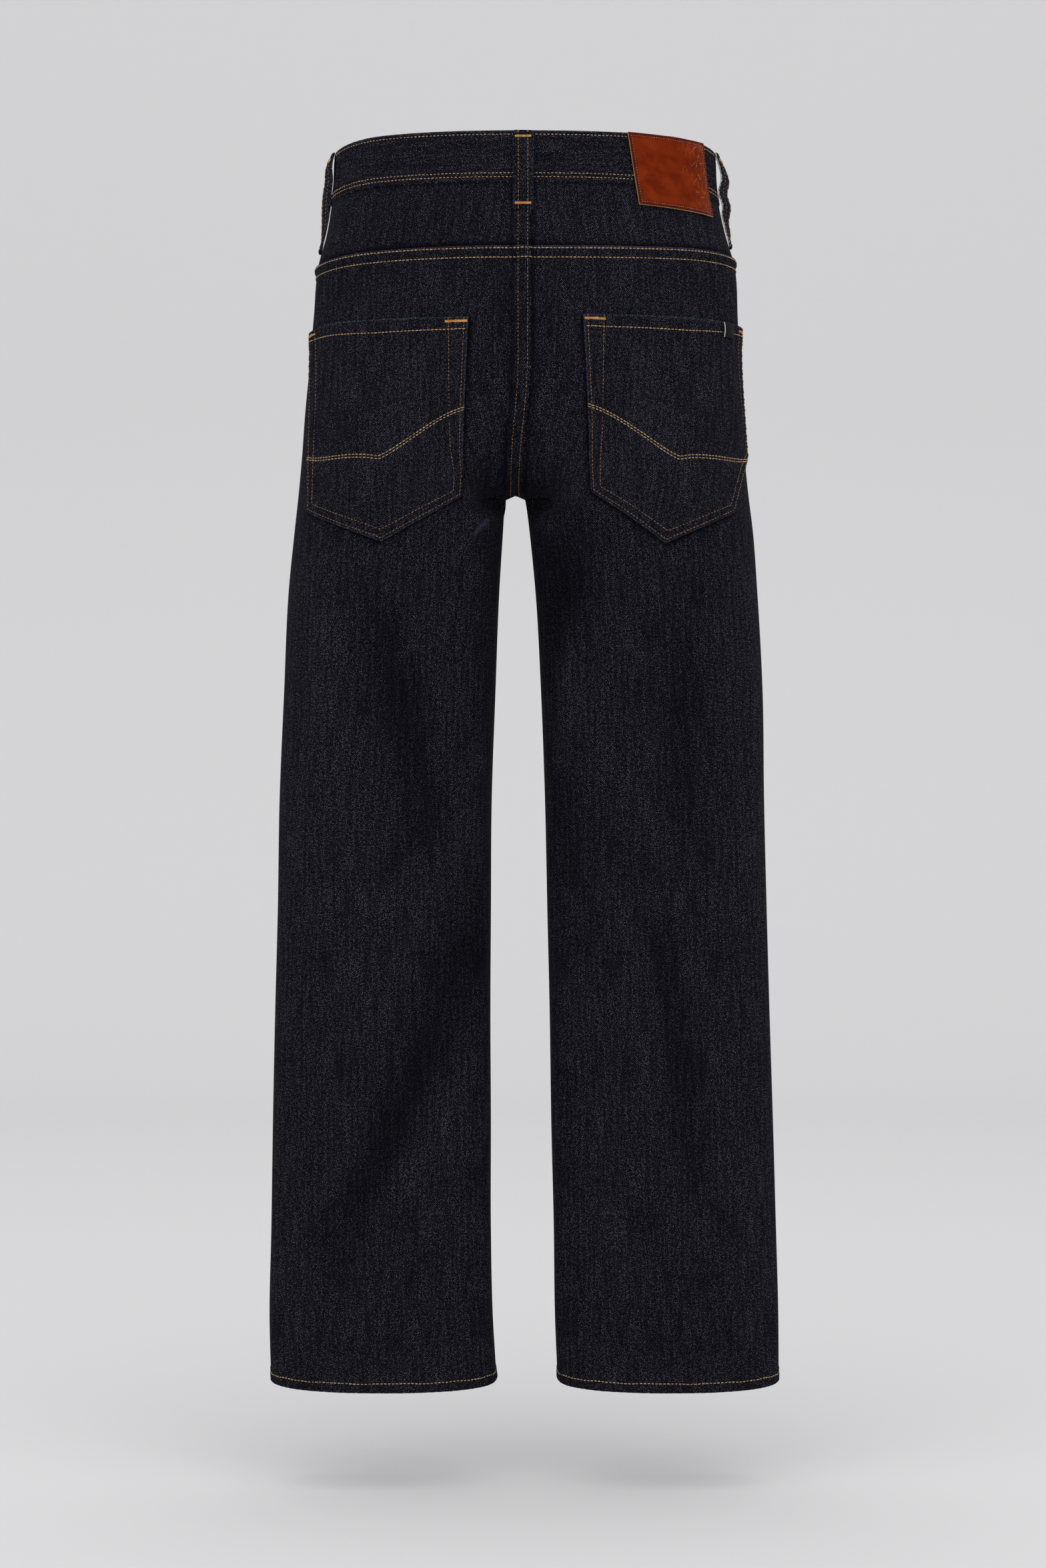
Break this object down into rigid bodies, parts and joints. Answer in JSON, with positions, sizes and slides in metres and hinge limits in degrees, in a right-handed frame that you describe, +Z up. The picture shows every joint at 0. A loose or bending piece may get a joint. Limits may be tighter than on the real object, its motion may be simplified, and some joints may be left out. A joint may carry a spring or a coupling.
{
  "type": "straight leg jeans",
  "caption": "Hollow worn straight leg jeans in dark denim with yoke, patch pockets, belt loops, leather patch and turned hems.",
  "frame": {"origin": "centre of the waist ring, level with the waistband's top edge at the sides", "axes": "+Z up, +Y towards the back of the jeans, +X towards the wearer's left"},
  "size_m": [0.4651, 0.2278, 1.1257],
  "materials": {
    "denim": "dark rinsed indigo twill with pale slub flecks",
    "leather": "waxed tan leather with fine cracks",
    "woven_tab": "plain black woven tape",
    "copper": "antiqued copper"
  },
  "bodies": {
    "root": {"back_panel_left": "denim", "back_panel_right": "denim", "front_panel_left": "denim", "front_panel_right": "denim", "yoke_left": "denim", "yoke_right": "denim", "waistband": "denim", "back_pocket_left": "denim", "back_pocket_right": "denim", "pocket_facing_left": "denim", "pocket_facing_right": "denim", "belt_loop_back": "denim", "belt_loop_side_left": "denim", "belt_loop_side_right": "denim", "belt_loop_front_left": "denim", "belt_loop_front_right": "denim", "leather_patch": "leather", "pocket_tab": "woven_tab", "waist_button": "copper"}
  },
  "joints": []
}
